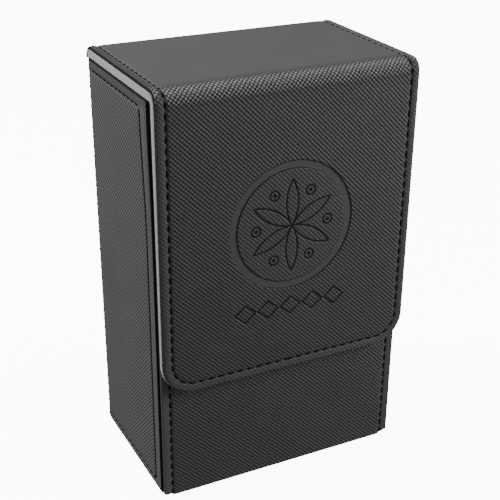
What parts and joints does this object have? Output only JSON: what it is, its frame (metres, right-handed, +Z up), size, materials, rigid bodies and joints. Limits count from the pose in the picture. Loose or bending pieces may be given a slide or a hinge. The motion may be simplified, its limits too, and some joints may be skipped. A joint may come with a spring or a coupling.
{
  "type": "card deck box",
  "caption": "Upright leather-covered card box with a lining inside and a hinged lid whose long front flap folds down over the front.",
  "frame": {"origin": "middle of the footprint on the surface it stands on", "axes": "+Z up along the height, -Y towards the front where the flap hangs, +X to the right seen from the front"},
  "size_m": [0.082, 0.0542, 0.13],
  "materials": {
    "black_leather": "cross-grain embossed, satin",
    "greyboard": "plain grey board",
    "foam": "thin soft padding sheet",
    "grey_lining": "short-napped microfibre",
    "thread": "twisted black sewing thread",
    "magnet": "plated discs"
  },
  "bodies": {
    "box": {"front_board": "greyboard", "back_board": "greyboard", "base_board": "greyboard", "left_side_board": "greyboard", "right_side_board": "greyboard", "left_side_foam": "foam", "right_side_foam": "foam", "front_leather": "black_leather", "back_leather": "black_leather", "base_leather": "black_leather", "left_side_leather": "black_leather", "right_side_leather": "black_leather", "hinge_leather": "black_leather", "front_lining": "grey_lining", "back_lining": "grey_lining", "base_lining": "grey_lining", "left_side_lining": "grey_lining", "right_side_lining": "grey_lining", "hinge_lining": "grey_lining", "front_thread": "thread", "back_thread": "thread", "left_side_thread": "thread", "right_side_thread": "thread", "box_magnets": "magnet"},
    "lid": {"lid_board": "greyboard", "lid_leather": "black_leather", "lid_lining": "grey_lining", "lid_thread": "thread", "fold_leather": "black_leather", "fold_lining": "grey_lining"},
    "flap": {"flap_board": "greyboard", "flap_leather": "black_leather", "flap_lining": "grey_lining", "flap_magnets": "magnet", "flap_thread": "thread"}
  },
  "joints": [
    {"name": "lid_hinge", "type": "hinge", "parent": "box", "child": "lid", "pos_m": [0, 0.02602, 0.12893], "axis": [-1, 0, 0], "range_deg": [0, 200]},
    {"name": "flap_fold", "type": "hinge", "parent": "lid", "child": "flap", "pos_m": [0, -0.02559, 0.1288], "axis": [-1, 0, 0], "range_deg": [0, 90]}
  ]
}
